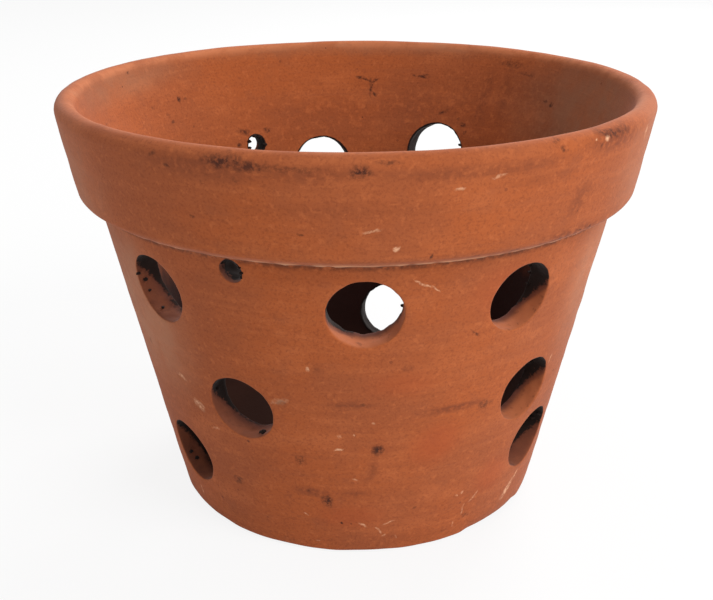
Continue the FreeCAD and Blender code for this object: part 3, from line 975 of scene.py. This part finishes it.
# Dust, also painted sheen towards the sides.
DUST_AND_SHEEN = srgb(152, 110, 84)
PALE_DUST_AND_SHEEN = srgb(186, 134, 104)
# Lime for pale marks and specks, also a painted highlight on the burr.
LIME_AND_HIGHLIGHT = srgb(226, 172, 134)
# Soot for spots and specks, also painted shade under the band and at two hole edges.
SOOT_AND_SHADE = srgb(58, 32, 26)
BROWN_SMEAR = srgb(118, 60, 38)
# The next two are painted shade: low inside the pot, and a little paler on its floor.
DEEP_PAINTED_SHADE = srgb(44, 22, 18)
FLOOR_PAINTED_SHADE = srgb(70, 44, 36)
CUT_CLAY = srgb(172, 98, 62)
# Soil on the crumbs, also painted shade in the cuts.
SOIL_AND_SHADE = srgb(34, 22, 18)
# Painted shade deeper in the cuts.
CUT_SHADE = srgb(66, 34, 27)
# Grime and painted shade, as a brown film in the cuts.
GRIME_AND_SHADE = srgb(98, 54, 42)

# Where layers come in, in millimetres: the worn lip and its painted highlight going up and inwards, the
# painted shade under and over the band's inner corner, the painted shade low inside and how far it
# wavers, and the floor's.
LIP_WEAR_HEIGHTS = (POT_HEIGHT - 3.2, POT_HEIGHT - 0.8)
LIP_WEAR_RADII = (RIM_RADIUS - 1.5, RIM_RADIUS - 5.5)
SEAM_SHADE_BELOW = (SHOULDER_HEIGHT - 1.6, SHOULDER_HEIGHT - 0.2)
SEAM_SHADE_ABOVE = (SHOULDER_HEIGHT + 1.6, SHOULDER_HEIGHT + 0.6)
INSIDE_SHADE_HEIGHTS = (104.0, 64.0)
INSIDE_SHADE_WAVER = 24.0
FLOOR_SHADE_HEIGHTS = (30.0, 12.0)


# In the clay's functions a noise has its scale per millimetre, detail and roughness, and a
# spread has the two levels of what it reads and the two shares that they become.
class Clay(Graph):
    """The clay's colour as it is built up, and the places and noises that its layers share."""

    def __init__(self, tree):
        super().__init__(tree)
        spot = self.node("ShaderNodeTexCoord").outputs["Object"]
        spot = self.scaled(spot, (1 / MM, 1 / MM, 1 / MM))
        self.spot = spot
        self.inside, self.cut = self.painted("inside"), self.painted("cut")
        self.parts = self.node("ShaderNodeSeparateXYZ", {"Vector": spot})
        self.height = self.parts.outputs["Z"]
        self.outside = self.math("SUBTRACT", 1.0, self.inside)
        self.plain = self.math("SUBTRACT", 1.0, self.cut)
        self.mottle = self.noise(spot, 0.14, 4.0, 0.6)
        self.cloud = self.noise(self.scaled(spot, (0.6, 0.6, 1.4)), 0.07, 3.0, 0.6)
        self.grain = self.noise(spot, 1.3, 3.0, 0.7)
        self.coarse_grain = self.noise(spot, 0.55, 3.0, 0.6)
        self.fine_streak = self.noise(self.scaled(spot, (0.05, 0.05, 1.6)), 1.0, 3.0, 0.6)
        self.hatch = self.noise(spot, 0.9, 3.0, 0.7)
        self.colour = CLAY

    def lay(self, share, colour):
        """Cover a share of the colour so far with another."""
        self.colour = self.mix(share, self.colour, colour)


def fired_colour(clay):
    """The clay itself: dull and bright patches, turning streaks and grain."""
    blotch = clay.noise(clay.spot, 0.03, 3.0)
    streak = clay.noise(clay.scaled(clay.spot, (0.018, 0.018, 0.42)), 1.0, 4.0, 0.6)
    patches = (
        (blotch, 0.35, 0.65, 0.6, CLAY_DULL), (clay.cloud, 0.5, 0.72, 0.5, CLAY_BRIGHT),
        (clay.mottle, 0.52, 0.75, 0.5, CLAY_DULL), (streak, 0.48, 0.75, 0.3, CLAY_BRIGHT),
        (streak, 0.46, 0.25, 0.35, CLAY_DULL), (clay.fine_streak, 0.5, 0.75, 0.22, CLAY_DULL),
        (clay.grain, 0.45, 0.7, 0.5, CLAY_GRAIN), (clay.coarse_grain, 0.45, 0.3, 0.45, CLAY_BRIGHT),
    )
    for noise, edge, full, strength, colour in patches:
        clay.lay(clay.spread(noise, edge, full, 0.0, strength), colour)


def dust_sheen_and_lip_highlight(clay):
    """Redder patches, dust with painted sheen towards the sides, and the lip worn bright, partly a
    painted highlight.
    """
    clay.lay(clay.painted("red"), CLAY_RED)
    # Dust with painted sheen towards the sides.
    dusty_sheen = clay.times(clay.painted("dust_and_sheen"), clay.spread(clay.mottle, 0.3, 0.65, 0.6, 1.0))
    clay.lay(dusty_sheen, clay.mix(clay.inside, PALE_DUST_AND_SHEEN, DUST_AND_SHEEN))
    far = clay.vector("LENGTH", clay.scaled(clay.spot, (1.0, 1.0, 0.0)))
    lip = clay.times(clay.spread(clay.height, *LIP_WEAR_HEIGHTS),
                     clay.spread(far, *LIP_WEAR_RADII, 0.1, 1.0))
    # The lip's top worn bright, partly a painted highlight.
    clay.lay(clay.times(lip, clay.spread(clay.mottle, 0.35, 0.62, 0.2, 0.75)), WORN_LIP_AND_HIGHLIGHT)
    clay.lay(clay.times(lip, clay.spread(clay.cloud, 0.55, 0.7, 0.0, 0.4)), DUST_AND_SHEEN)


def smears_and_marks(clay):
    """Brown smears, pale scratches and spots of soot, and two dark lines of painted shade at hole
    edges, each at its place.
    """
    warp = clay.vector("SUBTRACT", clay.noise(clay.spot, 0.4, 2.0, 0.5, "Color"), (0.5, 0.5, 0.5))
    warp = clay.scaled(warp, (MARK_WARP * 2, MARK_WARP * 2, 0.0))
    front = clay.vector("ADD", flat_place(clay, False), warp)
    back = clay.vector("ADD", flat_place(clay, True), warp)
    broken = clay.spread(clay.coarse_grain, 0.36, 0.58, 0.35, 1.0)
    hatched = clay.spread(clay.hatch, 0.38, 0.6, 0.2, 1.0)

    clay.lay(clay.times(clay.painted("brown"), broken), BROWN_SMEAR)
    pale = clay.times(mark_mask(clay, front, "outside_pale", OUTSIDE_PALE), clay.outside)
    clay.lay(clay.times(clay.times(pale, clay.plain), hatched), LIME_AND_HIGHLIGHT)
    dark = clay.times(mark_mask(clay, front, "outside_dark", OUTSIDE_DARK), clay.outside)
    dark_inside = clay.times(mark_mask(clay, back, "inside_dark", INSIDE_DARK), clay.inside)
    clay.lay(clay.times(clay.math("MAXIMUM", dark, dark_inside), hatched), SOOT_AND_SHADE)


def seam_shade_and_burr_highlight(clay):
    """Painted shade in the corner under the band, and a painted highlight on the burr along it."""
    seam = clay.times(clay.spread(clay.height, *SEAM_SHADE_BELOW), clay.spread(clay.height, *SEAM_SHADE_ABOVE))
    seam = clay.times(seam, clay.spread(clay.coarse_grain, 0.35, 0.6, 0.1, 0.6))
    # Painted shade in the corner under the band.
    clay.lay(clay.times(seam, clay.outside), SOOT_AND_SHADE)
    # A painted highlight on the burr.
    clay.lay(clay.times(clay.painted("burr"), 1.3), LIME_AND_HIGHLIGHT)


# Specks all over: millimetres apart, largest radius, share of the places, strength, colour.
SPECKS = (
    (7.0, 0.55, 0.3, 0.55, BROWN_SMEAR),
    (11.0, 0.4, 0.3, 0.7, SOOT_AND_SHADE),
    (13.0, 0.4, 0.3, 0.6, LIME_AND_HIGHLIGHT),
)


def scatter_specks(clay):
    """Specks all over. Returns the mask of the brown ones, which are small pits."""
    masks = []
    for spacing, radius, share, strength, colour in SPECKS:
        masks.append(specks(clay, clay.spot, spacing, radius, share))
        clay.lay(clay.times(masks[-1], strength), colour)
    return masks[0]


def paint_shade_inside(clay):
    """Painted shade low inside, darker towards the bottom and a little paler on the floor."""
    level = clay.math("ADD", clay.height, clay.times(clay.mottle, INSIDE_SHADE_WAVER))
    depth = clay.times(clay.inside, clay.spread(level, *INSIDE_SHADE_HEIGHTS))
    shade_colour = clay.mix(clay.spread(clay.height, *FLOOR_SHADE_HEIGHTS), DEEP_PAINTED_SHADE, FLOOR_PAINTED_SHADE)
    clay.lay(clay.times(depth, clay.plain), shade_colour)


def colour_cuts(clay):
    """The raw clay of the cuts with painted shade further in, under a brown film and soil that are
    partly painted shade.
    """
    # Painted shade, darker further into the cut.
    tone = clay.mix(clay.spread(clay.inside, 0.22, 0.5), CUT_CLAY, CUT_SHADE)
    tone = clay.mix(clay.spread(clay.coarse_grain, 0.56, 0.72, 0.0, 0.4), tone, SOOT_AND_SHADE)
    clay.lay(clay.times(clay.cut, 0.9), tone)
    # Painted shade that grows further into the cut.
    deep_shade = clay.spread(clay.times(clay.inside, clay.cut), 0.3, 0.5, 0.0, 0.35)
    soil = clay.math("ADD", clay.painted("soil"), deep_shade)
    # A brown film of grime and painted shade.
    shade_film = clay.times(clay.spread(soil, 0.02, 0.4, 0.0, 0.85), clay.cut)
    clay.lay(clay.times(shade_film, clay.spread(clay.mottle, 0.3, 0.6, 0.75, 1.0)), GRIME_AND_SHADE)
    hatching = clay.times(clay.math("SUBTRACT", clay.hatch, 0.5), 1.4)
    soil = clay.math("ADD", soil, clay.times(soil, hatching))
    # Soil, partly painted shade.
    clay.lay(clay.spread(soil, 0.42, 0.75), SOIL_AND_SHADE)


BUMP_STRENGTH = 0.35
BUMP_DEPTH = 0.3 * MM
GRAIN_RELIEF = 0.6
STREAK_RELIEF = 0.7
COARSE_RELIEF = 0.5
PIT_RELIEF = 0.8


def fine_relief(clay, pits):
    """The normal of the clay's grain, turning lines and pits."""
    height = clay.math("ADD", clay.times(clay.grain, GRAIN_RELIEF),
                       clay.times(clay.fine_streak, STREAK_RELIEF))
    height = clay.math("ADD", height, clay.times(clay.coarse_grain, COARSE_RELIEF))
    height = clay.math("SUBTRACT", height, clay.times(pits, PIT_RELIEF))
    bump = clay.node("ShaderNodeBump", {"Strength": BUMP_STRENGTH, "Distance": BUMP_DEPTH,
                                        "Height": height})
    return bump.outputs["Normal"]


def terracotta():
    """Unglazed fired clay: orange-brown, with grain, turning streaks, soot and lime, and painted shade,
    highlights and sheen.
    """
    material = bpy.data.materials.new("terracotta")
    material.use_nodes = True
    clay = Clay(material.node_tree)
    fired_colour(clay)
    # Dust with painted sheen, and the lip's wear with a painted highlight.
    dust_sheen_and_lip_highlight(clay)
    smears_and_marks(clay)
    # Painted shade under the band and a painted highlight on its burr.
    seam_shade_and_burr_highlight(clay)
    pits = scatter_specks(clay)
    # Painted shade low inside.
    paint_shade_inside(clay)
    # Painted shade in the cuts, with grime and soil.
    colour_cuts(clay)
    shader = clay.node("ShaderNodeBsdfPrincipled", {
        "Base Color": clay.colour, "Normal": fine_relief(clay, pits), "Roughness": 0.9,
        "Specular IOR Level": 0.15, "Sheen Weight": 0.08, "Sheen Roughness": 0.45})
    clay.node("ShaderNodeOutputMaterial", {"Surface": shader.outputs["BSDF"]})
    return material


def camera_sees(graph):
    """One for rays from the camera, or that reach a surface by a mirror or through glass."""
    path = graph.node("ShaderNodeLightPath")
    seen = graph.math("MAXIMUM", path.outputs["Is Camera Ray"], path.outputs["Is Glossy Ray"])
    return graph.math("MAXIMUM", seen, path.outputs["Is Transmission Ray"])


FLOOR_SIZE = 8.0
FLOOR_DROP = 0.2 * MM
FLOOR_GREY = 0.82
FLOOR_WHITE_SHARE = 0.86


def make_floor():
    """Pale floor that reads as the photograph's plain white and keeps a soft shadow."""
    data = bpy.data.meshes.new("floor")
    half = FLOOR_SIZE / 2
    data.from_pydata([(-half, -half, 0), (half, -half, 0), (half, half, 0), (-half, half, 0)], [],
                     [(0, 1, 2, 3)])
    floor = bpy.data.objects.new("floor", data)
    floor.location.z = -FLOOR_DROP
    bpy.context.scene.collection.objects.link(floor)
    material = bpy.data.materials.new("floor")
    graph = graph_of(material)
    matte = graph.node("ShaderNodeBsdfDiffuse", {"Color": (FLOOR_GREY, FLOOR_GREY, FLOOR_GREY, 1.0)})
    white = graph.node("ShaderNodeEmission", {"Color": (1.0, 1.0, 1.0, 1.0), "Strength": 1.0})
    share = graph.times(camera_sees(graph), FLOOR_WHITE_SHARE)
    both = graph.node("ShaderNodeMixShader", {0: share, 1: matte.outputs[0], 2: white.outputs[0]})
    graph.node("ShaderNodeOutputMaterial", {"Surface": both.outputs[0]})
    data.materials.append(material)


WORLD_LEVEL = 0.56


def make_world():
    """Even light from all round, and white where the camera sees past the floor."""
    world = bpy.data.worlds.new("studio")
    bpy.context.scene.world = world
    graph = graph_of(world)
    level = graph.spread(camera_sees(graph), 0.0, 1.0, WORLD_LEVEL, 1.0)
    sky = graph.node("ShaderNodeBackground", {"Color": (1.0, 1.0, 1.0, 1.0), "Strength": level})
    graph.node("ShaderNodeOutputWorld", {"Surface": sky.outputs[0]})


# Soft lamps: name, azimuth and elevation in degrees, distance and size in metres, watts.
LAMPS = (
    ("key_light", 50.0, 35.0, 1.3, 0.7, 10.8),
    ("rear_light", 150.0, 35.0, 1.3, 0.7, 11.5),
)


def make_lamps():
    """Area lamps that all face the pot's middle."""
    target = Vector((0.0, 0.0, POT_HEIGHT * MM / 2))
    for name, azimuth, elevation, distance, size, power in LAMPS:
        lamp = bpy.data.lights.new(name, "AREA")
        lamp.shape = "DISK"
        lamp.size = size
        lamp.energy = power
        thing = bpy.data.objects.new(name, lamp)
        turn, lift = math.radians(azimuth), math.radians(elevation)
        level = math.cos(lift)
        way = Vector((math.sin(turn) * level, -math.cos(turn) * level, math.sin(lift)))
        thing.location = target + way * distance
        thing.rotation_euler = (-way).to_track_quat("-Z", "Y").to_euler()
        bpy.context.scene.collection.objects.link(thing)


# The photograph's camera, solved from the pot's outlines: metres, radians and millimetres.
CAMERA_PLACE = (0.0, -0.3276, 0.1867)
CAMERA_TILT = 0.3783
CAMERA_ROLL = -0.0051
CAMERA_LENS = 55.38
CAMERA_SENSOR = 36.0


def make_camera():
    """Camera at the photograph's place, angle and lens."""
    data = bpy.data.cameras.new("camera")
    data.lens = CAMERA_LENS
    data.sensor_width = CAMERA_SENSOR
    camera = bpy.data.objects.new("camera", data)
    tilt = Euler((math.pi / 2 - CAMERA_TILT, 0.0, 0.0)).to_matrix()
    camera.rotation_euler = (tilt @ Matrix.Rotation(CAMERA_ROLL, 3, "Z")).to_euler()
    camera.location = CAMERA_PLACE
    bpy.context.scene.collection.objects.link(camera)
    bpy.context.scene.camera = camera


pot, crumbs = make_pot()
clay = terracotta()
pot.data.materials.append(clay)
crumbs.data.materials.append(clay)
make_floor()
make_world()
make_lamps()
make_camera()
bpy.context.scene.view_settings.view_transform = "Standard"
